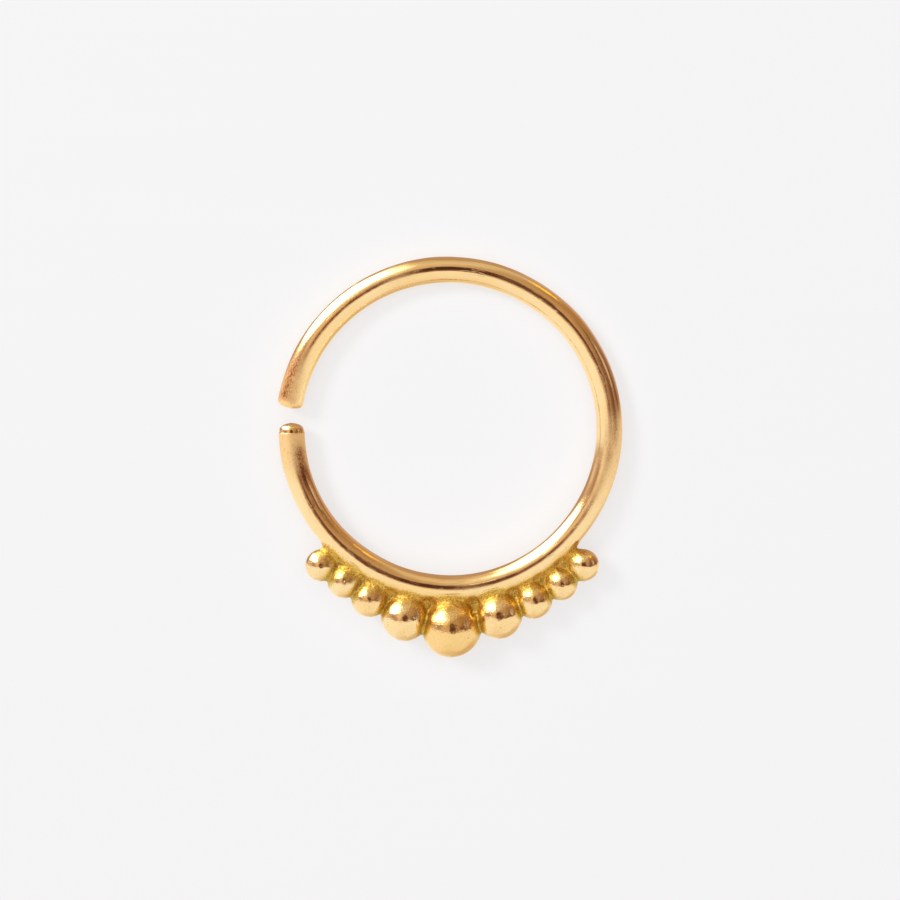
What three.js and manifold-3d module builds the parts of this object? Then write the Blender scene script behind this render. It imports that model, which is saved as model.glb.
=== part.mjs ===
// Beaded nose ring: an open hoop of round gold wire with nine graduated beads soldered
// along the outside of its lower arc. Millimetres, +Z up.
//
// The hoop is laid out flat first, in its own plane: its centre at 0,0, the gap between the
// wire's ends on the left (-X) and the beads below (-Y). It is then tipped to the pose in
// which it lies by itself: on the middle bead and on the far side of the wire.
// Wire, beads and solder are one piece of metal, so they are joined into one solid.

import * as THREE from 'three';
import { mergeVertices } from 'three/addons/utils/BufferGeometryUtils.js';
import Module from 'manifold-3d';

// ---------------------------------------------------------------- driving dimensions

const WIRE_RADIUS = 0.40;        // 0.8 mm round wire
const WIRE_SIDES = 16;           // sides of the wire's section
const WIRE_STEPS = 84;           // steps along the wire
const WIRE_START_DEG = 180.95;   // rim of the lower end
const WIRE_END_DEG = 531.0;      // rim of the upper end (171 degrees, once round)
const SOLDER_RADIUS = 0.155;     // hollow of the solder where two rounds meet
const SOLDER_BITE = 0.016;       // how far a solder neck starts inside the metal it joins
const NECK_SIDES = 16;           // sides of a solder neck, and steps along its hollow
const NECK_STEPS = 3;
const WEB_THICKNESS = 0.42;      // solder between the beads and the wire
const WEB_PAST_END = 0.20;       // how far it reaches past the last bead's centre
const WEB_STEPS = 16;            // steps along its inner edge
const REST_FLAT_RADIUS = 0.13;   // small flat under the middle bead, where it rests
const GOLD = { color: 0xd8a349, roughness: 0.24, metalness: 1.0 };

// Middle line of the wire: distance from the hoop's centre at each angle. The wire was bent
// by hand, so it is a little open at the gap and a little flat at the upper right.
const WIRE_LINE = [
  { deg: 180, radius: 4.893 },
  { deg: 200, radius: 4.908 },
  { deg: 220, radius: 4.923 },
  { deg: 240, radius: 4.934 },
  { deg: 260, radius: 4.955 },
  { deg: 280, radius: 4.966 },
  { deg: 300, radius: 4.962 },
  { deg: 320, radius: 4.953 },
  { deg: 340, radius: 4.948 },
  { deg: 360, radius: 4.948 },
  { deg: 380, radius: 4.939 },
  { deg: 400, radius: 4.930 },
  { deg: 420, radius: 4.913 },
  { deg: 440, radius: 4.926 },
  { deg: 460, radius: 4.947 },
  { deg: 480, radius: 4.958 },
  { deg: 500, radius: 4.969 },
  { deg: 520, radius: 4.978 },
  { deg: 540, radius: 5.005 },
];

// Beads from the left end of the row to the right: centre in the hoop's plane, and radius.
const BEADS = [
  { name: 'left_4', x: -4.015, y: -4.254, radius: 0.490, rings: 10, sides: 18 },
  { name: 'left_3', x: -3.297, y: -4.763, radius: 0.512, rings: 10, sides: 18 },
  { name: 'left_2', x: -2.510, y: -5.326, radius: 0.556, rings: 10, sides: 18 },
  { name: 'left_1', x: -1.411, y: -5.907, radius: 0.726, rings: 12, sides: 20 },
  { name: 'middle', x: 0.058, y: -6.243, radius: 0.917, rings: 14, sides: 24 },
  { name: 'right_1', x: 1.539, y: -5.840, radius: 0.732, rings: 12, sides: 20 },
  { name: 'right_2', x: 2.641, y: -5.364, radius: 0.563, rings: 10, sides: 18 },
  { name: 'right_3', x: 3.482, y: -4.839, radius: 0.506, rings: 10, sides: 18 },
  { name: 'right_4', x: 4.177, y: -4.245, radius: 0.496, rings: 10, sides: 18 },
];

// Rounded ends of the wire, each as a turned profile: distance from the wire's line, and
// height past the rim. Both start inside the wire. The lower end is a tall filed dome with
// a crisp rim, the upper one a cut with a low crown.
const LOWER_END = [
  { r: 0.300, h: -0.30 },
  { r: 0.372, h: 0.00 },
  { r: 0.362, h: 0.09 },
  { r: 0.325, h: 0.175 },
  { r: 0.245, h: 0.245 },
  { r: 0.130, h: 0.282 },
];
const LOWER_END_HEIGHT = 0.292;
const UPPER_END = [
  { r: 0.300, h: -0.30 },
  { r: 0.370, h: 0.00 },
  { r: 0.335, h: 0.055 },
  { r: 0.230, h: 0.100 },
  { r: 0.115, h: 0.120 },
];
const UPPER_END_HEIGHT = 0.126;

// ---------------------------------------------------------------- solids from closed meshes

const wasm = await Module();
wasm.setup();

function solidOf(geometry, matrix) {
  const g = geometry.clone();
  if (matrix) g.applyMatrix4(matrix);
  g.deleteAttribute('normal');
  g.deleteAttribute('uv');
  const merged = mergeVertices(g, 1e-5);
  return new wasm.Manifold(new wasm.Mesh({
    numProp: 3,
    vertProperties: new Float32Array(merged.attributes.position.array),
    triVerts: new Uint32Array(merged.index.array),
  }));
}

// A turned body from its profile, low end first. Both ends of the profile lie on the axis,
// and the axis is the local +Y.
function turned(profile, sides) {
  return new THREE.LatheGeometry(profile.map(([r, h]) => new THREE.Vector2(r, h)), sides);
}

// Puts a turned body's axis along the given direction, with its zero at the given point.
function placed(point, direction) {
  const turn = new THREE.Quaternion().setFromUnitVectors(
    new THREE.Vector3(0, 1, 0), direction.clone().normalize());
  return new THREE.Matrix4().compose(point, turn, new THREE.Vector3(1, 1, 1));
}

// ---------------------------------------------------------------- wire

// Smooth value between the rows of WIRE_LINE.
function lineRadius(deg) {
  const step = WIRE_LINE[1].deg - WIRE_LINE[0].deg;
  const last = WIRE_LINE.length - 1;
  const at = THREE.MathUtils.clamp((deg - WIRE_LINE[0].deg) / step, 0, last - 1e-9);
  const i = Math.floor(at);
  const u = at - i;
  const row = (k) => WIRE_LINE[THREE.MathUtils.clamp(k, 0, last)].radius;
  const [a, b, c, d] = [row(i - 1), row(i), row(i + 1), row(i + 2)];
  return b + 0.5 * u * ((c - a) + u * ((2 * a - 5 * b + 4 * c - d) + u * (3 * (b - c) + d - a)));
}

function linePoint(deg, target = new THREE.Vector3()) {
  const a = THREE.MathUtils.degToRad(deg);
  const r = lineRadius(deg);
  return target.set(r * Math.cos(a), r * Math.sin(a), 0);
}

class WireLine extends THREE.Curve {
  getPoint(t, target = new THREE.Vector3()) {
    return linePoint(THREE.MathUtils.lerp(WIRE_START_DEG, WIRE_END_DEG, t), target);
  }
}

const wireLine = new WireLine();
wireLine.arcLengthDivisions = 2000;
const section = new THREE.Shape(
  Array.from({ length: WIRE_SIDES }, (_, k) => {
    const a = (2 * Math.PI * k) / WIRE_SIDES;
    return new THREE.Vector2(WIRE_RADIUS * Math.cos(a), WIRE_RADIUS * Math.sin(a));
  }));
const wireGeometry = new THREE.ExtrudeGeometry(section, {
  steps: WIRE_STEPS, extrudePath: wireLine, bevelEnabled: false,
});

function wireEnd(rows, height, deg, direction) {
  const profile = [[0, rows[0].h], ...rows.map((p) => [p.r, p.h]), [0, height]];
  return solidOf(turned(profile, WIRE_SIDES), placed(linePoint(deg), direction));
}

let ring = solidOf(wireGeometry)
  .add(wireEnd(LOWER_END, LOWER_END_HEIGHT, WIRE_START_DEG, wireLine.getTangent(0).negate()))
  .add(wireEnd(UPPER_END, UPPER_END_HEIGHT, WIRE_END_DEG, wireLine.getTangent(1)));

// ---------------------------------------------------------------- how the ring lies

// The hoop tips about X until the flat under the middle bead and the underside of the far
// wire are at one height.
const middle = BEADS.find((b) => b.name === 'middle');
const flatDepth = Math.sqrt(middle.radius ** 2 - REST_FLAT_RADIUS ** 2);
const halfStep = THREE.MathUtils.degToRad((WIRE_END_DEG - WIRE_START_DEG) / WIRE_STEPS / 2);
const reach = lineRadius(450) * Math.cos(halfStep) - middle.y;
const TIP = Math.asin(flatDepth / Math.hypot(reach, WIRE_RADIUS)) - Math.atan2(WIRE_RADIUS, reach);
const downInPlane = new THREE.Vector3(0, Math.sin(TIP), -Math.cos(TIP));

// ---------------------------------------------------------------- beads

function beadCentre(bead) {
  return new THREE.Vector3(bead.x, bead.y, 0);
}

// A ball turned about its own axis. startAngle above zero leaves a flat at the low end.
function ballProfile(radius, rings, flat = 0) {
  const start = Math.asin(flat / radius);
  const profile = [[0, -radius * Math.cos(start)]];
  for (let k = flat > 0 ? 0 : 1; k < rings; k += 1) {
    const a = start + ((Math.PI - start) * k) / rings;
    profile.push([radius * Math.sin(a), -radius * Math.cos(a)]);
  }
  profile.push([0, radius]);
  return profile;
}

for (const bead of BEADS) {
  const isMiddle = bead === middle;
  const axis = isMiddle ? downInPlane.clone().negate() : new THREE.Vector3(0, 0, 1);
  const flat = isMiddle ? REST_FLAT_RADIUS : 0;
  ring = ring.add(solidOf(
    turned(ballProfile(bead.radius, bead.rings, flat), bead.sides),
    placed(beadCentre(bead), axis)));
}

// ---------------------------------------------------------------- solder

// A neck of solder between two rounds, turned about the line between their centres. Its
// hollow side is an arc that meets both rounds.
function neck(from, fromRadius, to, toRadius, sides, arcSteps) {
  const span = to.clone().sub(from);
  const d = span.length();
  const a = fromRadius + SOLDER_RADIUS;
  const b = toRadius + SOLDER_RADIUS;
  const along = (a * a - b * b + d * d) / (2 * d);
  const out = Math.sqrt(a * a - along * along);
  const hollow = SOLDER_RADIUS + SOLDER_BITE;
  const first = Math.atan2(-out, -along);
  const last = Math.atan2(-out, d - along);
  const profile = [];
  for (let k = 0; k <= arcSteps; k += 1) {
    const t = first + ((last - first) * k) / arcSteps;
    profile.push([out + hollow * Math.sin(t), along + hollow * Math.cos(t)]);
  }
  profile.unshift([0, profile[0][1]]);
  profile.push([0, profile[profile.length - 1][1]]);
  return solidOf(turned(profile, sides), placed(from, span));
}

// A web of solder in the hoop's plane fills the pockets between the beads and the wire. Its
// outer edge runs from bead centre to bead centre and its inner edge inside the wire, so
// only what lies in the pockets shows.
function angleOf(point) {
  return THREE.MathUtils.euclideanModulo(
    THREE.MathUtils.radToDeg(Math.atan2(point.y, point.x)), 360);
}

function web() {
  const first = beadCentre(BEADS[0]);
  const last = beadCentre(BEADS[BEADS.length - 1]);
  const past = (point, side) => {
    const along = new THREE.Vector3(-point.y, point.x, 0).normalize();
    return point.clone().addScaledVector(along, side * WEB_PAST_END);
  };
  const outer = [past(first, -1), ...BEADS.map(beadCentre), past(last, 1)];
  const from = angleOf(outer[0]);
  const to = angleOf(outer[outer.length - 1]);
  const inner = Array.from({ length: WEB_STEPS + 1 }, (_, k) =>
    linePoint(THREE.MathUtils.lerp(to, from, k / WEB_STEPS)));
  const outline = new THREE.Shape([...outer, ...inner].map((p) => new THREE.Vector2(p.x, p.y)));
  const plate = new THREE.ExtrudeGeometry(outline, {
    depth: WEB_THICKNESS, steps: 1, bevelEnabled: false });
  return solidOf(plate, new THREE.Matrix4().makeTranslation(0, 0, -WEB_THICKNESS / 2));
}

ring = ring.add(web());
for (let i = 0; i + 1 < BEADS.length; i += 1) {
  const [bead, next] = [BEADS[i], BEADS[i + 1]];
  ring = ring.add(neck(
    beadCentre(bead), bead.radius, beadCentre(next), next.radius, NECK_SIDES, NECK_STEPS));
}

// ---------------------------------------------------------------- mesh and pose

const result = ring.getMesh();
const geometry = new THREE.BufferGeometry();
geometry.setAttribute('position', new THREE.BufferAttribute(
  Float32Array.from(result.vertProperties), result.numProp));
geometry.setIndex(new THREE.BufferAttribute(Uint32Array.from(result.triVerts), 1));
geometry.computeVertexNormals();

const hoop = new THREE.Mesh(geometry, new THREE.MeshStandardMaterial(GOLD));
hoop.name = 'beaded_hoop';
hoop.rotation.x = -TIP;
hoop.updateMatrixWorld(true);

// The origin is under the middle of the ring, on the surface that it lies on.
const box = new THREE.Box3().setFromObject(hoop, true);
hoop.position.set(-(box.min.x + box.max.x) / 2, -(box.min.y + box.max.y) / 2, -box.min.z);

const group = new THREE.Group();
group.add(hoop);
group.updateMatrixWorld(true);

export default group;
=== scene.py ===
"""Beaded nose ring: the fine surface, finish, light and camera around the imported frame.

The ring's own layout is in millimetres in the hoop's plane (hoop centre at 0,0, beads at -Y,
front at +Z). to_row() turns it to the row's frame, in metres, where the ring lies on its side.
"""

import math  # noqa: E402

import bpy  # noqa: E402
import numpy as np  # noqa: E402
from mathutils import Matrix, Vector  # noqa: E402


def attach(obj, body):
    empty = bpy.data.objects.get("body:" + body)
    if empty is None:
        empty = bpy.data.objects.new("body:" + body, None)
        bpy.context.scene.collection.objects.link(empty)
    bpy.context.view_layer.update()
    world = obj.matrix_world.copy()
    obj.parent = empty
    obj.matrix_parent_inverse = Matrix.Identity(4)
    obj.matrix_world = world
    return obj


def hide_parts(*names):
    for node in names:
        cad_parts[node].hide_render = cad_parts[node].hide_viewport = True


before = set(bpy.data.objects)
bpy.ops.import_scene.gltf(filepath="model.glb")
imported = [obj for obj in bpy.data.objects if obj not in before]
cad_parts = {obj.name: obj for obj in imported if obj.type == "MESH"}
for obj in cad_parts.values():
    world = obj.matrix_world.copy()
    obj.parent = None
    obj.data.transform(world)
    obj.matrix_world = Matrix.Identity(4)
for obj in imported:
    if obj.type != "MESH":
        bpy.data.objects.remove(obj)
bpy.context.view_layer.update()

# ------------------------------------------------------------------ sizes, as in the CAD source

WIRE_RADIUS = 0.40
WIRE_START_DEG = 180.95
WIRE_END_DEG = 531.0
WIRE_LINE_FROM, WIRE_LINE_STEP = 180.0, 20.0
WIRE_LINE = np.array([
    4.893, 4.908, 4.923, 4.934, 4.955, 4.966, 4.962, 4.953, 4.948, 4.948,
    4.939, 4.930, 4.913, 4.926, 4.947, 4.958, 4.969, 4.978, 5.005,
])
#        name       x       y      radius
BEADS = [
    ("left_4", -4.015, -4.254, 0.490),
    ("left_3", -3.297, -4.763, 0.512),
    ("left_2", -2.510, -5.326, 0.556),
    ("left_1", -1.411, -5.907, 0.726),
    ("middle", 0.058, -6.243, 0.917),
    ("right_1", 1.539, -5.840, 0.732),
    ("right_2", 2.641, -5.364, 0.563),
    ("right_3", 3.482, -4.839, 0.506),
    ("right_4", 4.177, -4.245, 0.496),
]
TIP = math.radians(2.60595)                 # how the hoop's plane leans when it lies by itself
HOOP_CENTRE = (-0.010936, 0.910620, 0.623993)   # hoop's centre in the row's frame, mm

MM = 0.001


def to_row(p):
    """Points in the hoop's layout (mm) to the row's frame (m)."""
    p = np.asarray(p, float)
    c, s = math.cos(TIP), math.sin(TIP)
    q = np.stack([p[..., 0], p[..., 1] * c + p[..., 2] * s, -p[..., 1] * s + p[..., 2] * c], -1)
    return (q + np.array(HOOP_CENTRE)) * MM


def turn_to_row(d):
    """Directions in the hoop's layout to the row's frame."""
    d = np.asarray(d, float)
    c, s = math.cos(TIP), math.sin(TIP)
    return np.stack([d[..., 0], d[..., 1] * c + d[..., 2] * s, -d[..., 1] * s + d[..., 2] * c], -1)


def line_radius(deg):
    """Distance of the wire's middle line from the hoop's centre, smooth between the rows."""
    n = len(WIRE_LINE) - 1
    at = np.clip((np.asarray(deg, float) - WIRE_LINE_FROM) / WIRE_LINE_STEP, 0, n - 1e-9)
    i = np.floor(at).astype(int)
    u = at - i
    a, b = WIRE_LINE[np.clip(i - 1, 0, n)], WIRE_LINE[i]
    c, d = WIRE_LINE[np.clip(i + 1, 0, n)], WIRE_LINE[np.clip(i + 2, 0, n)]
    return b + 0.5 * u * ((c - a) + u * ((2 * a - 5 * b + 4 * c - d) + u * (3 * (b - c) + d - a)))


def waves(p, wavelength, seed, count=28):
    """Smooth noise of about unit size from plane waves of one wavelength. p is (n, 3), mm."""
    rng = np.random.RandomState(seed)
    k = rng.normal(size=(count, 3))
    k *= (2 * math.pi / wavelength) * rng.uniform(0.75, 1.3, (count, 1)) / np.linalg.norm(k, axis=1)[:, None]
    phase = rng.uniform(0, 2 * math.pi, count)
    out = np.zeros(len(p))
    for kk, ph in zip(k, phase):
        out += np.cos(p @ kk + ph)
    return out * math.sqrt(2.0 / count)


def smoothstep(a, b, x):
    t = np.clip((x - a) / (b - a), 0, 1)
    return t * t * (3 - 2 * t)


def make_mesh(name, verts, faces, attributes):
    """A smooth mesh object from points in the hoop's layout, with float and vector attributes."""
    mesh = bpy.data.meshes.new(name)
    points = to_row(verts)
    points[:, 2] = np.maximum(points[:, 2], 0)      # nothing goes under the plane it rests on
    mesh.from_pydata(points.tolist(), [], faces)
    mesh.validate()
    mesh.polygons.foreach_set("use_smooth", [True] * len(mesh.polygons))
    for key, values in attributes.items():
        values = np.asarray(values, np.float32)
        if values.ndim == 1:
            mesh.attributes.new(key, "FLOAT", "POINT").data.foreach_set("value", values)
        else:
            mesh.attributes.new(key, "FLOAT_VECTOR", "POINT").data.foreach_set("vector", values.ravel())
    mesh.update()
    obj = bpy.data.objects.new(name, mesh)
    bpy.context.scene.collection.objects.link(obj)
    return obj


# ------------------------------------------------------------------ the hoop's wire

WIRE_SIDES = 72
WIRE_STEPS = 860

# Ends of the wire: distance from its line, and height past the rim.
LOWER_END = [
    (0.4000, -0.030), (0.4000, -0.010), (0.3985, -0.003), (0.3935, 0.003), (0.3890, 0.012),
    (0.3862, 0.032), (0.3828, 0.058), (0.3780, 0.086), (0.3710, 0.114), (0.3600, 0.142),
    (0.3430, 0.169), (0.3180, 0.194), (0.2850, 0.217), (0.2440, 0.238), (0.1970, 0.256),
    (0.1460, 0.271), (0.0940, 0.283), (0.0440, 0.291), (0.0160, 0.294),
]
LOWER_TOP = 0.295
UPPER_END = [
    (0.4000, -0.110), (0.3985, -0.085), (0.3950, -0.062), (0.3885, -0.040), (0.3790, -0.018),
    (0.3660, 0.002), (0.3490, 0.020), (0.3260, 0.037), (0.2960, 0.053), (0.2600, 0.067),
    (0.2180, 0.080), (0.1720, 0.091), (0.1240, 0.100), (0.0760, 0.106), (0.0320, 0.109),
    (0.0120, 0.110),
]
UPPER_TOP = 0.110
UPPER_SLANT = 0.045    # the upper cut isn't quite square to the wire


def wire_frame(deg):
    """Centre, outward normal and tangent (towards larger angles) of the wire's line."""
    a = np.radians(deg)
    r = line_radius(deg)
    e = 0.05
    dr = (line_radius(np.clip(deg + e, 180.95, 531)) - line_radius(np.clip(deg - e, 180.95, 531))) / math.radians(2 * e)
    centre = np.stack([r * np.cos(a), r * np.sin(a), 0 * a], -1)
    tangent = np.stack([dr * np.cos(a) - r * np.sin(a), dr * np.sin(a) + r * np.cos(a), 0 * a], -1)
    tangent /= np.linalg.norm(tangent, axis=-1, keepdims=True)
    normal = np.stack([tangent[..., 1], -tangent[..., 0], 0 * a], -1)
    return centre, normal, tangent


def build_wire():
    deg_per_mm = math.degrees(1 / 4.95)
    start = WIRE_START_DEG + 0.030 * deg_per_mm
    stop = WIRE_END_DEG - 0.110 * deg_per_mm
    body = np.linspace(start, stop, WIRE_STEPS + 1)
    psi = 2 * np.pi * np.arange(WIRE_SIDES) / WIRE_SIDES
    rows, along = [], []       # each row is (sides, 3)

    def ring(deg, radius, shift=0.0, slant=0.0):
        c, n, t = wire_frame(np.array(deg))
        off = radius * (np.cos(psi)[:, None] * n + np.sin(psi)[:, None] * np.array([0, 0, 1.0]))
        push = shift + slant * radius * np.cos(psi)
        return c + off + push[:, None] * t

    for r, h in reversed(LOWER_END[1:]):
        rows.append(ring(WIRE_START_DEG, r, -h))
        along.append(math.radians(WIRE_START_DEG) * 4.9 - h)
    for d in body:
        rows.append(ring(d, WIRE_RADIUS))
        along.append(math.radians(d) * 4.94)
    for r, h in UPPER_END[1:]:
        slant = -UPPER_SLANT * float(smoothstep(-0.11, 0.03, h))
        rows.append(ring(WIRE_END_DEG, r, h, slant))
        along.append(math.radians(WIRE_END_DEG) * 4.94 + h)
    verts = np.concatenate(rows)
    n_rows = len(rows)

    c0, _, t0 = wire_frame(np.array(WIRE_START_DEG))
    c1, _, t1 = wire_frame(np.array(WIRE_END_DEG))
    poles = np.array([c0 - LOWER_TOP * t0, c1 + UPPER_TOP * t1])
    along_all = np.repeat(along, WIRE_SIDES)

    # Hand-bent and lightly filed: the section and the line waver by a few thousandths.
    first, last = len(LOWER_END) - 1, n_rows - len(UPPER_END)
    deg_row = np.concatenate([np.full(first, WIRE_START_DEG), body, np.full(n_rows - first - len(body), WIRE_END_DEG)])
    centre = np.repeat(wire_frame(deg_row)[0], WIRE_SIDES, axis=0)
    radial = verts - centre
    reach = np.linalg.norm(radial, axis=1, keepdims=True)
    radial = radial / np.maximum(reach, 1e-6)
    wobble = 0.0022 * waves(verts, 1.9, 11) + 0.0009 * waves(verts, 0.62, 12)
    ends = np.minimum(np.abs(np.arange(n_rows) - first), np.abs(np.arange(n_rows) - last))
    patch = smoothstep(0.2, 1.2, waves(verts, 2.6, 15))
    wobble += 0.0007 * patch * waves(verts, 0.20, 13)
    verts = verts + radial * (wobble * np.clip(reach[:, 0] / WIRE_RADIUS, 0, 1))[:, None]

    k = np.arange(WIRE_SIDES)
    k1 = (k + 1) % WIRE_SIDES
    faces = []
    for i in range(n_rows - 1):
        a, b = i * WIRE_SIDES, (i + 1) * WIRE_SIDES
        faces += np.stack([a + k, b + k, b + k1, a + k1], -1).tolist()
    p0, p1 = len(verts), len(verts) + 1
    faces += np.stack([np.full(WIRE_SIDES, p0), k, k1], -1).tolist()
    b = (n_rows - 1) * WIRE_SIDES
    faces += np.stack([np.full(WIRE_SIDES, p1), b + k1, b + k], -1).tolist()
    verts = np.concatenate([verts, poles])

    # Coordinates that run with the wire: round it, and along it.
    round_ = np.tile(np.stack([np.cos(psi), np.sin(psi)], -1), (n_rows, 1))
    row_radius = [r for r, _ in reversed(LOWER_END[1:])] + [WIRE_RADIUS] * len(body) + [r for r, _ in UPPER_END[1:]]
    draw = np.concatenate([np.c_[round_ * np.repeat(row_radius, WIRE_SIDES)[:, None], along_all],
                           [[0, 0, along[0]], [0, 0, along[-1]]]])
    h_low = np.concatenate([np.repeat([h for _, h in reversed(LOWER_END[1:])], WIRE_SIDES),
                            np.full((n_rows - first) * WIRE_SIDES, -1.0), [LOWER_TOP, -1.0]])
    h_up = np.concatenate([np.full((last + 1) * WIRE_SIDES, -1.0),
                           np.repeat([h for _, h in UPPER_END[1:]], WIRE_SIDES), [-1.0, UPPER_TOP]])
    # The cut end faces: rougher, and painted paler and greyer as painted reflection of the pale surroundings at a low
    # angle.
    top_face = np.maximum(smoothstep(0.165, 0.225, h_low), 0.6 * smoothstep(0.02, 0.07, h_up))
    bevel = smoothstep(-0.002, 0.008, h_low) * (1 - smoothstep(0.145, 0.195, h_low))
    deg_all = np.concatenate([np.repeat(deg_row, WIRE_SIDES), [WIRE_START_DEG, WIRE_END_DEG]])
    # Worn and mottled near the two ends, on the front of the right side and in a few patches.
    psi_all = np.concatenate([np.tile(np.degrees(psi), n_rows), [0, 0]])
    outer = smoothstep(-0.60, -0.25, np.cos(np.radians(psi_all)))
    worn = np.maximum.reduce([
        smoothstep(20, 7, deg_all - WIRE_START_DEG),
        smoothstep(26, 6, WIRE_END_DEG - deg_all) * (0.45 + 0.55 * smoothstep(-0.75, -0.30, np.cos(np.radians(psi_all)))),
        0.85 * outer * np.exp(-((deg_all - 352) / np.where(deg_all > 352, 12, 23)) ** 2),
        0.50 * np.exp(-((deg_all - 468) / 7) ** 2),
        0.35 * np.exp(-((deg_all - 278) / 9) ** 2),
        0.46 * (1 - outer) * np.exp(-((deg_all - 302) / 15) ** 2),
    ])
    # Rows of small dark scuffs along the wire beside both ends, and two faint ones at the right.
    from_low, from_up = deg_all - WIRE_START_DEG, WIRE_END_DEG - deg_all
    scuff = np.maximum.reduce([
        smoothstep(3, 8, from_low) * (1 - smoothstep(14, 24, from_low)) * np.exp(-((psi_all - 124) / 21) ** 2),
        smoothstep(0.6, 3.0, from_up) * (1 - smoothstep(11, 24, from_up)) * np.exp(-((psi_all - 58) / 24) ** 2),
        0.50 * np.exp(-((deg_all - 361) / 5) ** 2 - ((psi_all - 66) / 16) ** 2),
        0.38 * np.exp(-((deg_all - 351.5) / 4) ** 2 - ((psi_all - 88) / 14) ** 2)])
    return make_mesh("hoop_wire", verts, faces, {
        "draw": draw, "top_face": top_face, "bevel": bevel, "worn": worn, "scuff": scuff,
        "solder": solder_near(verts)})


# ------------------------------------------------------------------ beads and solder

GRID = 0.0290
SUNK = 0.003            # the wire's skin in this piece lies just under the wire itself
BLEND_BEADS = 0.19
BLEND_WIRE = 0.52
CUT_RADIUS = 5.05       # this piece ends inside the wire
ROW_FROM_DEG, ROW_TO_DEG = 214.0, 326.0


BLEND_WEB = 0.19
WEB_RADIUS = 0.130

# Solder in each pocket: from the wire to the place where two beads touch.
WEBS = []
for (_, x0, y0, r0), (_, x1, y1, r1) in zip(BEADS, BEADS[1:]):
    touch = np.array([x0, y0]) + np.array([x1 - x0, y1 - y0]) * r0 / (r0 + r1)
    out = touch / np.hypot(*touch)
    start = out * (float(line_radius(math.degrees(math.atan2(touch[1], touch[0])) % 360)) + 0.26)
    WEBS.append((start, touch - 0.10 * out))


def smin(a, b, k):
    h = np.maximum(k - np.abs(a - b), 0) / k
    return np.minimum(a, b) - h * h * h * k / 6


def parts_field(p):
    x, y, z = p[..., 0], p[..., 1], p[..., 2]
    beads = [np.sqrt((x - bx) ** 2 + (y - by) ** 2 + z * z) - r for _, bx, by, r in BEADS]
    rho = np.sqrt(x * x + y * y)
    deg = np.degrees(np.arctan2(y, x)) % 360
    wire = np.sqrt((rho - line_radius(np.where(deg < 175, deg + 360, deg))) ** 2 + z * z) - (WIRE_RADIUS - SUNK)
    return beads, wire, rho, deg


def web_field(p):
    best = None
    for start, stop in WEBS:
        along = stop - start
        u = np.clip(((p[..., 0] - start[0]) * along[0] + (p[..., 1] - start[1]) * along[1]) / (along @ along), 0, 1)
        gap = (p[..., 0] - start[0] - u * along[0]) ** 2 + (p[..., 1] - start[1] - u * along[1]) ** 2
        best = gap if best is None else np.minimum(best, gap)
    return np.sqrt(best + (1.15 * p[..., 2]) ** 2) - WEB_RADIUS


def solder_near(p):
    """1 where two of the joined pieces are close together, 0 away from the joints."""
    beads, wire, _, _ = parts_field(p)
    near = np.sort(np.stack([*beads, wire, web_field(p)]), axis=0)
    return 1 - smoothstep(0.14, 0.36, near[1])


def field(p):
    beads, wire, rho, deg = parts_field(p)
    f = beads[0]
    for b in beads[1:]:
        f = smin(f, b, BLEND_BEADS)
    f = smin(f, wire, BLEND_WIRE)
    f = smin(f, web_field(p), BLEND_WEB)
    # A small pit that the solder left between the middle bead, its right neighbour and the wire.
    x, y, z = p[..., 0], p[..., 1], p[..., 2]
    pit = np.sqrt(((x - 0.73) * 1.2) ** 2 + ((y + 5.65) * 0.75) ** 2 + ((z - 0.40) * 0.45) ** 2) - 0.105
    f = -smin(-f, pit, 0.05)
    f = -smin(-f, rho - CUT_RADIUS, 0.08)
    f = np.maximum(f, (ROW_FROM_DEG - deg) * 0.09)
    f = np.maximum(f, (deg - ROW_TO_DEG) * 0.09)
    return f


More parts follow.
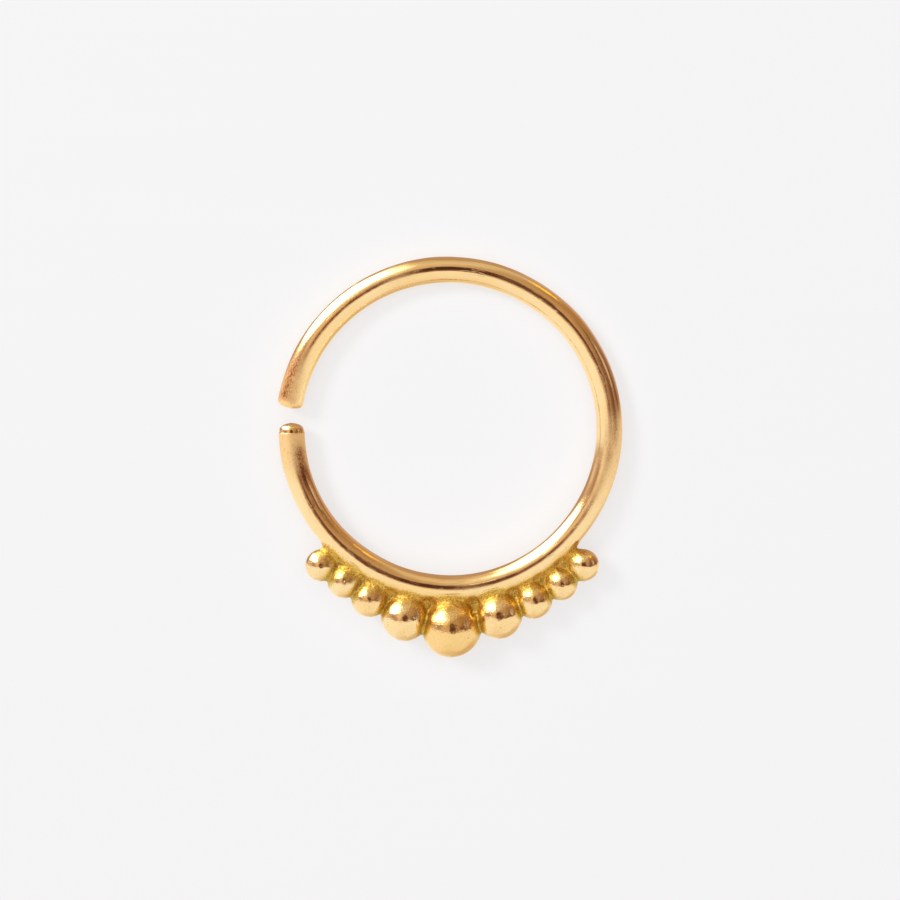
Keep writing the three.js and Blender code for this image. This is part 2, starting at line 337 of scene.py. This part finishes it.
def surface_nets(lo, hi, h):
    """Vertices and quads of the zero level of field() on a grid."""
    n = np.ceil((np.array(hi) - np.array(lo)) / h).astype(int) + 1
    axes = [lo[i] + h * np.arange(n[i]) for i in range(3)]
    values = np.empty(n, np.float32)
    for i, x in enumerate(axes[0]):
        yy, zz = np.meshgrid(axes[1], axes[2], indexing="ij")
        values[i] = field(np.stack([np.full_like(yy, x), yy, zz], -1))
    inside = values < 0
    corners = [inside[dx:n[0] - 1 + dx, dy:n[1] - 1 + dy, dz:n[2] - 1 + dz]
               for dx in (0, 1) for dy in (0, 1) for dz in (0, 1)]
    count = np.sum(corners, axis=0)
    active = (count > 0) & (count < 8)
    index = np.full(active.shape, -1, np.int64)
    cells = np.argwhere(active)
    index[tuple(cells.T)] = np.arange(len(cells))
    total = np.zeros((len(cells), 3))
    hits = np.zeros(len(cells))
    for axis in range(3):
        step = np.eye(3, dtype=int)[axis]
        others = [k for k in range(3) if k != axis]
        for u in (0, 1):
            for v in (0, 1):
                base = cells.copy()
                base[:, others[0]] += u
                base[:, others[1]] += v
                a = values[tuple(base.T)]
                b = values[tuple((base + step).T)]
                cross = (a < 0) != (b < 0)
                t = np.where(cross, a / np.where(cross, a - b, 1), 0)
                point = base + t[:, None] * step
                total += np.where(cross[:, None], point, 0)
                hits += cross
    verts = np.array(lo) + h * total / hits[:, None]
    quads = []
    for axis in range(3):
        u, v = [(1, 2), (2, 0), (0, 1)][axis]
        step = np.eye(3, dtype=int)
        a = inside[:-1, :, :] if axis == 0 else inside[:, :-1, :] if axis == 1 else inside[:, :, :-1]
        b = inside[1:, :, :] if axis == 0 else inside[:, 1:, :] if axis == 1 else inside[:, :, 1:]
        edge = np.argwhere(a != b)
        edge = edge[(edge[:, u] > 0) & (edge[:, v] > 0) & (edge[:, u] < n[u] - 1) & (edge[:, v] < n[v] - 1)]
        c = [edge - step[u] - step[v], edge - step[v], edge, edge - step[u]]
        q = np.stack([index[tuple(x.T)] for x in c], -1)
        flip = ~a[tuple(edge.T)]
        q[flip] = q[flip][:, ::-1]
        quads.append(q)
    return verts, np.concatenate(quads)


def gradient(p, e=0.002):
    g = np.empty_like(p)
    for i in range(3):
        d = np.zeros(3)
        d[i] = e
        g[:, i] = (field(p + d) - field(p - d)) / (2 * e)
    return g


def to_surface(p, rounds=2):
    for _ in range(rounds):
        g = gradient(p)
        p = p - np.clip(field(p), -0.01, 0.01)[:, None] * g / np.maximum((g * g).sum(1), 0.2)[:, None]
    return p


def build_beads():
    lo = (-4.62, -7.20, -0.96)
    hi = (4.80, -2.70, 0.96)
    verts, quads = surface_nets(lo, hi, GRID)
    edges = np.concatenate([quads[:, [i, (i + 1) % 4]] for i in range(4)])
    edges = np.unique(np.sort(edges, axis=1), axis=0)
    degree = np.bincount(edges.ravel(), minlength=len(verts)).astype(float)
    verts = to_surface(verts, 2)
    for _ in range(6):
        mean = np.stack([np.bincount(edges[:, 0], verts[edges[:, 1], i], len(verts))
                         + np.bincount(edges[:, 1], verts[edges[:, 0], i], len(verts)) for i in range(3)], -1)
        move = mean / degree[:, None] - verts
        g = gradient(verts)
        g /= np.maximum(np.linalg.norm(g, axis=1, keepdims=True), 1e-6)
        verts = verts + 0.5 * (move - (move * g).sum(1, keepdims=True) * g)
        verts = to_surface(verts, 1)
    beads, wire, rho, _ = parts_field(verts)
    near = np.sort(np.stack([*beads, wire]), axis=0)
    near_beads = np.sort(np.stack(beads), axis=0)
    fill = near[0]                       # over zero where solder covers the metal
    # Painted shade: darker colour in the pockets where two beads and the wire meet, on the solder webs, and in the
    # valleys between beads.
    pocket = np.maximum(1 - smoothstep(0.07, 0.26, near[2]), 0.40 * (1 - smoothstep(0.04, 0.27, near_beads[1])))
    pocket = np.maximum(pocket, 0.34 * (1 - smoothstep(0.0, 0.07, web_field(verts))))
    # Painted shade: marks the middle bead, which is coloured a little darker and deeper yellow, as if it mirrored a
    # shadow under it.
    others = np.min(np.stack(beads[:4] + beads[5:]), axis=0)
    middle = smoothstep(-0.15, 0.15, others - beads[4])
    # Painted shade in the valleys between beads.
    valley = 1 - smoothstep(0.06, 0.32, near_beads[1])
    solder = smoothstep(0.0010, 0.022, fill)
    # Tinted zone near the joints and along the wire: rougher and grainier, and coloured deeper yellow as painted
    # reflection of the wire and light bounced between the parts.
    crevice = np.maximum(solder_near(verts),
                         0.9 * (1 - smoothstep(0.14, 0.64, wire)) * smoothstep(0.01, 0.07, wire))
    # The half of each bead that faces the wire is frosted, the outer half is burnished.
    best, frost = np.min(np.stack(beads), axis=0), np.zeros(len(verts))
    for (_, bx, by, r), d in zip(BEADS, beads):
        out = np.array([bx, by]) / math.hypot(bx, by)
        u = ((verts[:, 0] - bx) * out[0] + (verts[:, 1] - by) * out[1]) / r
        frost = np.where(d <= best, 1 - smoothstep(-0.45, 0.02, u), frost)
    hidden = rho < CUT_RADIUS + 0.03

    normal = gradient(verts)
    normal /= np.maximum(np.linalg.norm(normal, axis=1, keepdims=True), 1e-6)
    bead_id = np.argmin(np.stack(beads), axis=0)
    shift = 7.3 * bead_id[:, None] * np.array([1.0, 0.7, 0.4])
    lump = 0.0040 * waves(verts + shift, 0.95, 21) + 0.0012 * waves(verts + shift, 0.30, 22)
    lump += (0.0009 + 0.0016 * solder) * waves(verts, 0.115, 23, 40)
    lump += 0.0030 * solder * waves(verts, 0.24, 24, 32)
    lump *= smoothstep(0.0, 0.06, wire)
    verts = verts + normal * np.where(hidden, 0, lump)[:, None]
    return make_mesh("bead_row", verts, quads.tolist(), {
        "solder": solder, "crevice": crevice, "pocket": pocket, "middle": middle, "valley": valley,
        "frost": frost})


# ------------------------------------------------------------------ node helpers

class Nodes:
    """Short calls for a material's or a world's node tree."""

    def __init__(self, tree):
        self.tree = tree
        tree.nodes.clear()

    def add(self, kind, inputs=None, **settings):
        node = self.tree.nodes.new(kind)
        for key, value in settings.items():
            setattr(node, key, value)
        for key, value in (inputs or {}).items():
            socket = node.inputs[key]
            if isinstance(value, bpy.types.NodeSocket):
                self.tree.links.new(value, socket)
            else:
                socket.default_value = value
        return node

    def math(self, op, a, b=None, c=None, clamp=False):
        values = {0: a}
        if b is not None:
            values[1] = b
        if c is not None:
            values[2] = c
        return self.add("ShaderNodeMath", values, operation=op, use_clamp=clamp).outputs[0]

    def dot(self, vector, direction):
        return self.add("ShaderNodeVectorMath", {0: vector, 1: tuple(map(float, direction))},
                        operation="DOT_PRODUCT").outputs["Value"]

    def step(self, value, low, high, a=0.0, b=1.0):
        """Smoothly from a to b as value goes from low to high."""
        return self.add("ShaderNodeMapRange", {
            "Value": value, "From Min": low, "From Max": high, "To Min": a, "To Max": b},
            interpolation_type="SMOOTHSTEP").outputs["Result"]

    def mix(self, factor, a, b):
        node = self.add("ShaderNodeMix", data_type="RGBA")
        for socket, value in ((node.inputs[0], factor), (node.inputs[6], a), (node.inputs[7], b)):
            if isinstance(value, bpy.types.NodeSocket):
                self.tree.links.new(value, socket)
            else:
                socket.default_value = value
        return node.outputs[2]

    def noise(self, vector, scale, detail=2.0, rough=0.5, distort=0.0):
        return self.add("ShaderNodeTexNoise", {
            "Vector": vector, "Scale": scale, "Detail": detail, "Roughness": rough,
            "Distortion": distort}).outputs["Fac"]

    def attribute(self, name, output="Fac"):
        return self.add("ShaderNodeAttribute", attribute_name=name).outputs[output]

    def stretch(self, vector, scale):
        return self.add("ShaderNodeVectorMath", {0: vector, 1: scale}, operation="MULTIPLY").outputs[0]

    def bump(self, height, distance, normal=None, strength=1.0):
        values = {"Height": height, "Distance": distance, "Strength": strength}
        if normal is not None:
            values["Normal"] = normal
        return self.add("ShaderNodeBump", values).outputs["Normal"]


def new_material(name):
    material = bpy.data.materials.new(name)
    material.use_nodes = True
    return material, Nodes(material.node_tree)


GOLD = (0.965, 0.705, 0.340, 1)
GOLD_WARM = (0.950, 0.655, 0.295, 1)
GOLD_PALE = (0.980, 0.750, 0.415, 1)
# Solder colour: the solder's own deeper yellow, with painted light bounced between the gold parts.
SOLDER_GOLD_AND_BOUNCE = (0.800, 0.505, 0.086, 1)
GOLD_TARNISH = (0.620, 0.250, 0.070, 1)


def wire_material():
    material, n = new_material("polished_gold_wire")
    where = n.add("ShaderNodeTexCoord").outputs["Object"]
    draw = n.attribute("draw", "Vector")
    top, bevel, worn = n.attribute("top_face"), n.attribute("bevel"), n.attribute("worn")
    plain = n.math("SUBTRACT", 1.0, n.math("MAXIMUM", top, bevel))

    # Colour: slow drifts along the wire, and a faint brown film in worn places.
    drift = n.noise(where, 420, 3, 0.6)
    colour = n.mix(n.step(drift, 0.35, 0.65), GOLD_WARM, GOLD_PALE)
    colour = n.mix(0.5, colour, GOLD)
    film = n.noise(n.stretch(draw, (4200e-3, 4200e-3, 900e-3)), 1.0, 5, 0.68, 0.3)
    film_amount = n.math("MULTIPLY", n.step(film, 0.47, 0.70), n.math("MULTIPLY_ADD", worn, 0.26, 0.05))
    colour = n.mix(film_amount, colour, GOLD_TARNISH)
    # Painted reflection: the cut end faces are painted paler and greyer, as the pale surroundings mirrored at a low
    # angle.
    colour = n.mix(n.math("MULTIPLY", top, 0.75), colour, (0.70, 0.57, 0.47, 1))
    colour = n.mix(n.math("MULTIPLY", worn, 0.75), colour, (0.990, 0.700, 0.335, 1))
    specks = n.step(n.noise(n.stretch(draw, (17.0, 17.0, 10.0)), 1.0, 3, 0.6), 0.50, 0.66)
    colour = n.mix(n.math("MULTIPLY", specks, n.math("MULTIPLY_ADD", worn, 0.23, 0.02)), colour, (0.60, 0.225, 0.050, 1))
    # Near the joints: the solder's deeper yellow, partly its own colour and partly painted bounced light.
    solder = n.attribute("solder")
    colour = n.mix(solder, colour, SOLDER_GOLD_AND_BOUNCE)
    scuff = n.attribute("scuff")
    dashes = n.step(n.noise(n.stretch(draw, (32.0, 32.0, 17.0)), 1.0, 1, 0.5), 0.45, 0.56)
    colour = n.mix(n.math("MULTIPLY", scuff, 0.86), colour, (0.58, 0.285, 0.110, 1))
    colour = n.mix(n.math("MULTIPLY", n.math("MULTIPLY", dashes, scuff), 0.90), colour, (0.24, 0.065, 0.020, 1))

    # Grain in the solder: dark grains and light ones, the light grains being painted glints.
    grain = n.noise(where, 26000, 2, 0.6)
    colour = n.mix(n.math("MULTIPLY", n.step(grain, 0.47, 0.36), n.math("MULTIPLY_ADD", solder, 0.40, 0.03)),
                   colour, (0.36, 0.19, 0.03, 1))
    colour = n.mix(n.math("MULTIPLY", n.step(grain, 0.53, 0.66), n.math("MULTIPLY", solder, 0.50)),
                   colour, (1.0, 0.79, 0.22, 1))

    # Height: draw lines along the wire, hairline scratches, and a fine speckle in patches.
    lines = n.noise(n.stretch(draw, (22.0, 22.0, 0.22)), 1.0, 4, 0.62)
    fine_lines = n.noise(n.stretch(draw, (80.0, 80.0, 1.2)), 1.0, 2, 0.5)
    speckle = n.noise(where, 19000, 2, 0.55)
    blotch = n.noise(where, 6500, 2, 0.5)
    patch = n.step(n.noise(where, 900, 2, 0.5), 0.46, 0.66)
    patch = n.math("MULTIPLY_ADD", patch, 0.16, 0.07)
    patch = n.math("MAXIMUM", patch, n.math("MULTIPLY", worn, 0.32))
    patch = n.math("MAXIMUM", patch, solder)
    patch = n.math("MAXIMUM", patch, n.math("MULTIPLY", top, 1.3))
    patch = n.math("MULTIPLY", patch, n.math("MULTIPLY_ADD", bevel, -0.92, 1.0))
    height = n.math("MULTIPLY", lines, 1.1)
    height = n.math("MULTIPLY_ADD", fine_lines, 0.20, height)
    height = n.math("MULTIPLY", height, plain)
    normal = n.bump(height, 2.2e-6)
    rub = n.math("MULTIPLY", n.math("MULTIPLY_ADD", blotch, 0.5, speckle), patch)
    normal = n.bump(rub, 1.25e-5, normal)
    scratch = n.add("ShaderNodeTexVoronoi", {"Vector": n.stretch(draw, (9.0, 9.0, 0.6)), "Scale": 1.0,
                                             "Randomness": 1.0},
                    feature="DISTANCE_TO_EDGE").outputs["Distance"]
    nick = n.math("MULTIPLY", n.step(scratch, 0.0, 0.035, 1.0, 0.0),
                  n.step(n.noise(where, 1500, 2, 0.5), 0.54, 0.66))
    normal = n.bump(n.math("MULTIPLY", nick, n.math("MULTIPLY", plain, -0.9)), 1.6e-6, normal)

    rough = n.math("MULTIPLY_ADD", n.noise(n.stretch(draw, (14.0, 14.0, 0.5)), 1.0, 3, 0.6), 0.08, 0.025)
    rough = n.math("MULTIPLY_ADD", patch, 0.05, rough)
    rough = n.math("MULTIPLY_ADD", n.math("MULTIPLY", worn, plain), 0.44, rough)
    rough = n.math("MULTIPLY_ADD", solder, 0.16, rough)
    rough = n.math("MULTIPLY_ADD", top, 0.10, rough)
    shader = n.add("ShaderNodeBsdfPrincipled", {
        "Base Color": colour, "Metallic": 1.0, "Roughness": rough, "Normal": normal})
    n.add("ShaderNodeOutputMaterial", {"Surface": shader.outputs[0]})
    return material


def bead_material():
    material, n = new_material("satin_gold_beads_and_solder")
    where = n.add("ShaderNodeTexCoord").outputs["Object"]
    solder, crevice = n.attribute("solder"), n.attribute("crevice")

    drift = n.noise(where, 900, 3, 0.6)
    colour = n.mix(n.step(drift, 0.35, 0.65), GOLD_WARM, GOLD_PALE)
    colour = n.mix(0.4, colour, GOLD)
    # Painted shade on the middle bead: a little darker and deeper yellow, as if it mirrored a shadow under it.
    colour = n.mix(n.math("MULTIPLY", n.attribute("middle"), 0.8), colour, (0.920, 0.610, 0.235, 1))
    # Deeper yellow on the solder (its own colour) and on the beads near the wire and joints (painted reflection of the
    # wire and painted bounced light).
    tint = n.math("MAXIMUM", solder, n.math("MULTIPLY", crevice, 0.9))
    stir = n.math("SUBTRACT", n.noise(where, 8000, 4, 0.65), 0.5)
    grain_tint = n.math("MULTIPLY_ADD", stir, 1.3, tint, clamp=True)
    grain_tint = n.math("MULTIPLY", grain_tint, n.step(tint, 0.0, 0.30))
    colour = n.mix(grain_tint, colour, SOLDER_GOLD_AND_BOUNCE)
    # Painted shade: darker olive in the valleys between beads.
    colour = n.mix(n.math("MULTIPLY", n.attribute("valley"), 0.55), colour, (0.700, 0.500, 0.100, 1))
    # Small dark pits, mostly on the fronts of the beads, and darker grains in the solder.
    pits = n.add("ShaderNodeTexVoronoi", {"Vector": where, "Scale": 7500.0, "Randomness": 1.0},
                 feature="F1").outputs["Distance"]
    chosen = n.step(n.noise(where, 3200, 2, 0.5), 0.55, 0.62)
    pit = n.math("MULTIPLY", n.step(pits, 0.06, 0.22, 1.0, 0.0), chosen)
    colour = n.mix(n.math("MULTIPLY", pit, 0.45), colour, (0.34, 0.17, 0.07, 1))
    dusk = n.math("MULTIPLY", n.step(n.noise(where, 15000, 3, 0.6), 0.50, 0.66),
                  n.math("MULTIPLY_ADD", solder, 0.42, 0.06))
    colour = n.mix(dusk, colour, (0.42, 0.23, 0.035, 1))
    # Painted shade: dark pockets where beads and the wire meet, and on the solder webs.
    colour = n.mix(n.math("MULTIPLY", n.attribute("pocket"), 0.70), colour, (0.26, 0.155, 0.032, 1))
    # Sparkle: light and dark grains of the frosted skin, strongest where it is tinted; the light grains are painted
    # glints.
    frosted = n.math("MAXIMUM", tint, n.math("MULTIPLY", n.attribute("frost"), 0.48))
    spark = n.noise(where, 23000, 2, 0.6)
    colour = n.mix(n.math("MULTIPLY", n.step(spark, 0.47, 0.36), n.math("MULTIPLY_ADD", frosted, 0.60, 0.12)),
                   colour, (0.36, 0.185, 0.035, 1))
    colour = n.mix(n.math("MULTIPLY", n.step(spark, 0.53, 0.66), n.math("MULTIPLY_ADD", frosted, 0.62, 0.08)),
                   colour, (1.0, 0.82, 0.28, 1))

    # Frosty grain, coarser and deeper on the solder.
    grain = n.noise(where, 20000, 3, 0.6)
    coarse = n.noise(where, 7500, 2, 0.5)
    height = n.math("MULTIPLY", grain, n.math("MULTIPLY_ADD", frosted, 0.82, 0.20))
    height = n.math("MULTIPLY_ADD", coarse, n.math("MULTIPLY_ADD", solder, 0.5, 0.22), height)
    normal = n.bump(height, 1.25e-5)
    normal = n.bump(n.math("MULTIPLY", pit, -1.0), 1.2e-5, normal)
    rough = n.math("MULTIPLY_ADD", n.noise(where, 2400, 3, 0.6), 0.07, 0.035)
    rough = n.math("MULTIPLY_ADD", tint, 0.34, rough)
    rough = n.math("MULTIPLY_ADD", solder, 0.12, rough)
    shader = n.add("ShaderNodeBsdfPrincipled", {
        "Base Color": colour, "Metallic": 1.0, "Roughness": rough, "Normal": normal})
    n.add("ShaderNodeOutputMaterial", {"Surface": shader.outputs[0]})
    return material


# ------------------------------------------------------------------ the ring

wire = build_wire()
wire.data.materials.append(wire_material())
beads = build_beads()
beads.data.materials.append(bead_material())
for piece in (wire, beads):
    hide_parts("beaded_hoop")
    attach(piece, "root")


# ------------------------------------------------------------------ camera

CAMERA_LEAN = math.radians(6.0)      # above the hoop's normal, away from the beads
CAMERA_AWAY = 60.0                   # mm
PIXEL = 0.031                        # mm at the hoop, for an image of 900 x 900
AIM = (0.0122, -0.6282, 0.0)         # point of the hoop's plane at the middle of the image

cam = bpy.data.cameras.new("camera")
cam.sensor_width = 36.0
cam.lens = CAMERA_AWAY / PIXEL / 900 * 36.0
cam.clip_start, cam.clip_end = 0.001, 10.0
camera = bpy.data.objects.new("camera", cam)
bpy.context.scene.collection.objects.link(camera)
back = turn_to_row(np.array([0, math.sin(CAMERA_LEAN), math.cos(CAMERA_LEAN)]))
right = np.array([1.0, 0, 0])
up = np.cross(back, right)
place = to_row(np.array(AIM)) + back * CAMERA_AWAY * MM
camera.matrix_world = Matrix([
    [right[0], up[0], back[0], place[0]],
    [right[1], up[1], back[1], place[1]],
    [right[2], up[2], back[2], place[2]],
    [0, 0, 0, 1]])
bpy.context.scene.camera = camera

# ------------------------------------------------------------------ floor and light

FLOOR = 0.6
mesh = bpy.data.meshes.new("floor")
corner = [(math.cos(a) * FLOOR, math.sin(a) * FLOOR, 0) for a in np.linspace(0, 2 * math.pi, 64, endpoint=False)]
mesh.from_pydata(corner, [], [list(range(64))])
floor = bpy.data.objects.new("floor", mesh)
bpy.context.scene.collection.objects.link(floor)
floor.visible_glossy = False          # the metal mirrors only the surroundings below, as if it stood free
material, n = new_material("pale_floor")
where = n.add("ShaderNodeTexCoord").outputs["Object"]
streak = n.noise(n.stretch(where, (60, 900, 60)), 1.0, 4, 0.6)
glow = n.add("ShaderNodeEmission", {
    "Color": n.mix(streak, (0.985, 0.978, 0.985, 1), (1.0, 0.993, 1.0, 1)), "Strength": 0.67})
matt = n.add("ShaderNodeBsdfDiffuse", {"Color": (0.27, 0.268, 0.27, 1)})
both = n.add("ShaderNodeAddShader", {0: glow.outputs[0], 1: matt.outputs[0]})
n.add("ShaderNodeOutputMaterial", {"Surface": both.outputs[0]})
floor.data.materials.append(material)

# What the metal mirrors, laid out round the hoop: a pale half on the bead side, a warm darker half
# opposite it with a large soft light at the upper left, and darker patches round the front.
world = bpy.data.worlds.new("studio")
bpy.context.scene.world = world
world.use_nodes = True
world.cycles_visibility.diffuse = False     # the floor is lit by itself and by the lamps below
n = Nodes(world.node_tree)
toward = n.add("ShaderNodeTexCoord").outputs["Generated"]


def unit(v):
    v = np.array(v, float)
    return v / np.linalg.norm(v)


Y_HOOP = turn_to_row(np.array([0, 1.0, 0]))
Z_HOOP = turn_to_row(np.array([0, 0, 1.0]))
DEGREE = 180 / math.pi
height = n.dot(toward, Y_HOOP)
rise = n.math("MULTIPLY", n.math("ARCSINE", height), DEGREE)             # degrees above the pale half
turn = n.math("MULTIPLY", n.math("ARCTAN2", n.dot(toward, (1.0, 0, 0)), n.dot(toward, Z_HOOP)), DEGREE)
stir = n.noise(toward, 5.0, 4, 0.6)
fine_stir = n.noise(toward, 16.0, 3, 0.6)
turn_ = n.math("MULTIPLY_ADD", n.math("SUBTRACT", fine_stir, 0.5), 14.0, turn)
rise_ = n.math("MULTIPLY_ADD", n.math("SUBTRACT", stir, 0.5), 12.0, rise)

ramp = n.add("ShaderNodeValToRGB", {"Fac": n.math("MULTIPLY_ADD", rise, 1 / 180, 0.5)})
stops = [
    (-90, (0.93, 0.87, 0.79)),
    (-68, (0.97, 0.94, 0.90)),
    (-45, (1.00, 0.98, 0.95)),
    (-12, (1.02, 1.00, 0.98)),
    (-4.5, (0.97, 0.91, 0.86)),
    (2.5, (0.50, 0.33, 0.26)),
    (20, (0.58, 0.42, 0.31)),
    (36, (0.72, 0.59, 0.45)),
    (62, (0.80, 0.70, 0.57)),
    (90, (0.68, 0.54, 0.38)),
]
elements = ramp.color_ramp.elements
while len(elements) > 1:
    elements.remove(elements[-1])
for i, (at, rgb) in enumerate(stops):
    e = elements[0] if i == 0 else elements.new(at / 180 + 0.5)
    e.position = at / 180 + 0.5
    e.color = (*rgb, 1)
sky = ramp.outputs["Color"]


def patch_of(at_turn, at_rise, half_turn, half_rise, soft=0.35, square=2.0, rough=True):
    """1 in a rounded patch of the surroundings, 0 outside. Places and halves in degrees."""
    a = n.math("ABSOLUTE", n.math("MULTIPLY_ADD", turn_ if rough else turn, 1 / half_turn, -at_turn / half_turn))
    b = n.math("ABSOLUTE", n.math("MULTIPLY_ADD", rise_ if rough else rise, 1 / half_rise, -at_rise / half_rise))
    if square == 2.0:
        away = n.math("SQRT", n.math("ADD", n.math("MULTIPLY", a, a), n.math("MULTIPLY", b, b)))
    else:
        away = n.math("POWER", n.math("ADD", n.math("POWER", a, square), n.math("POWER", b, square)), 1 / square)
    return n.step(away, 1 - soft, 1 + soft, 1.0, 0.0)


def paint(mask, rgb, amount=1.0):
    global sky
    if amount != 1.0:
        mask = n.math("MULTIPLY", mask, amount)
    sky = n.mix(mask, sky, (*rgb, 1))


above = n.step(rise, 0.5, 3.5)
above_right = n.step(rise, -6.0, -2.0)
# The pale half is darker behind, to the right.
paint(patch_of(180, -66, 60, 26, 0.4, rough=False), (0.84, 0.74, 0.60), 0.9)
paint(patch_of(-180, -66, 60, 24, 0.4, rough=False), (0.84, 0.74, 0.60), 0.9)
paint(patch_of(140, -46, 40, 24, 0.5, rough=False), (0.70, 0.56, 0.40), 0.85)
# It is brighter under the soft light, and the dark half is darker behind.
paint(n.math("MULTIPLY", patch_of(-95, -30, 70, 32, 0.6, rough=False), 0.9), (1.09, 1.08, 1.12))
paint(n.math("MULTIPLY", patch_of(180, 50, 62, 62, 0.3, rough=False), above), (0.50, 0.34, 0.25), 0.9)
paint(n.math("MULTIPLY", patch_of(-180, 50, 42, 62, 0.3, rough=False), above), (0.50, 0.34, 0.25), 0.9)
# Right of the front: brown, with darker patches low down and one pale one.
paint(n.math("MULTIPLY", patch_of(72, 27, 62, 34, 0.45), above), (0.42, 0.240, 0.125), 0.95)
paint(n.math("MULTIPLY", patch_of(36, 3, 34, 10, 0.4), above_right), (0.19, 0.088, 0.070), 0.92)
paint(n.math("MULTIPLY", patch_of(98, 14, 26, 14, 0.5), above), (0.20, 0.10, 0.10), 0.85)
paint(n.math("MULTIPLY", patch_of(57, 17, 9, 12, 0.5), above), (0.16, 0.08, 0.07), 0.75)
paint(n.math("MULTIPLY", patch_of(75, 18, 9, 8, 0.4), above), (0.80, 0.66, 0.60), 0.9)
stripe = n.noise(n.add("ShaderNodeCombineXYZ", {
    "X": n.math("MULTIPLY", turn, 1 / 11), "Y": n.math("MULTIPLY", rise, 1 / 40)}).outputs[0], 1.0, 3, 0.6)
side = n.math("MULTIPLY", patch_of(74, 15, 60, 18, 0.4), above)
paint(n.math("MULTIPLY", side, n.step(stripe, 0.50, 0.62)), (0.13, 0.062, 0.055), 0.75)
paint(n.math("MULTIPLY", side, n.step(stripe, 0.46, 0.36)), (0.80, 0.58, 0.42), 0.55)
paint(n.math("MULTIPLY", patch_of(142, 22, 17, 24, 0.5, rough=False), above), (0.88, 0.62, 0.60), 0.5)
# Left of the front, under the soft light: rosy, with two darker patches.
paint(n.math("MULTIPLY", patch_of(-84, 12, 62, 14, 0.4, 3.0), above), (0.60, 0.43, 0.37), 0.9)
paint(n.math("MULTIPLY", patch_of(-98, 12, 15, 8, 0.5), above), (0.88, 0.76, 0.72), 0.8)
paint(n.math("MULTIPLY", patch_of(-55, 12, 12, 8, 0.5), above), (0.34, 0.22, 0.19), 0.7)
paint(n.math("MULTIPLY", patch_of(-130, 12, 12, 8, 0.5), above), (0.36, 0.24, 0.21), 0.6)
# Straight in front: a small dark patch, and a paler one on its left.
paint(n.math("MULTIPLY", patch_of(-25, 20, 13, 15, 0.4), above), (0.95, 0.74, 0.56), 0.8)
paint(patch_of(3, 9, 27, 18, 0.45), (0.74, 0.50, 0.36), 0.75)
paint(n.math("MULTIPLY", patch_of(28, 34, 22, 17, 0.5), above), (0.56, 0.39, 0.24), 0.7)
paint(patch_of(4, -1, 13, 8, 0.35), (0.30, 0.135, 0.100), 0.40)
paint(patch_of(5, 4.0, 17, 9, 0.25), (0.17, 0.070, 0.056), 0.97)
paint(patch_of(4, 15, 15, 11.5, 0.20), (0.06, 0.022, 0.020), 0.97)
paint(patch_of(9, 13, 3.5, 4.0, 0.5), (0.45, 0.28, 0.22), 0.7)
# The soft light and a small warm lamp.
paint(patch_of(-84, 46, 58, 23, 0.12, 3.5, rough=False), (1.9, 1.75, 1.5))
paint(patch_of(-84, 45, 47, 19, 0.14, 3.0, rough=False), (5.6, 5.55, 5.45))
paint(patch_of(92, 53, 15, 6, 0.4, rough=False), (1.35, 0.95, 0.20))

seen = n.add("ShaderNodeLightPath").outputs["Is Camera Ray"]
sky = n.mix(seen, sky, (0.915, 0.910, 0.915, 1))
background = n.add("ShaderNodeBackground", {"Color": sky, "Strength": 1.0})
n.add("ShaderNodeOutputWorld", {"Surface": background.outputs[0]})


def soft_light(name, direction, distance, size, power, colour=(1, 1, 1)):
    """A large area light that the metal doesn't mirror: it lights the floor."""
    data = bpy.data.lights.new(name, "AREA")
    data.shape = "DISK"
    data.size = size
    data.energy = power
    data.color = colour
    light = bpy.data.objects.new(name, data)
    bpy.context.scene.collection.objects.link(light)
    d = Vector(turn_to_row(unit(direction)))
    light.location = d * distance
    light.rotation_mode = "QUATERNION"
    light.rotation_quaternion = d.to_track_quat("Z", "Y")
    light.visible_glossy = False
    light.visible_camera = False
    return light


soft_light("overhead_fill", (0.0, 0.05, 1.0), 0.5, 0.9, 3.0)
soft_light("key_left", (-0.62, 0.45, 0.8), 0.4, 0.12, 0.60)

bpy.context.scene.view_settings.view_transform = "Standard"
bpy.context.scene.view_settings.look = "None"
bpy.context.scene.view_settings.exposure = 0.0
bpy.context.scene.view_settings.gamma = 1.0
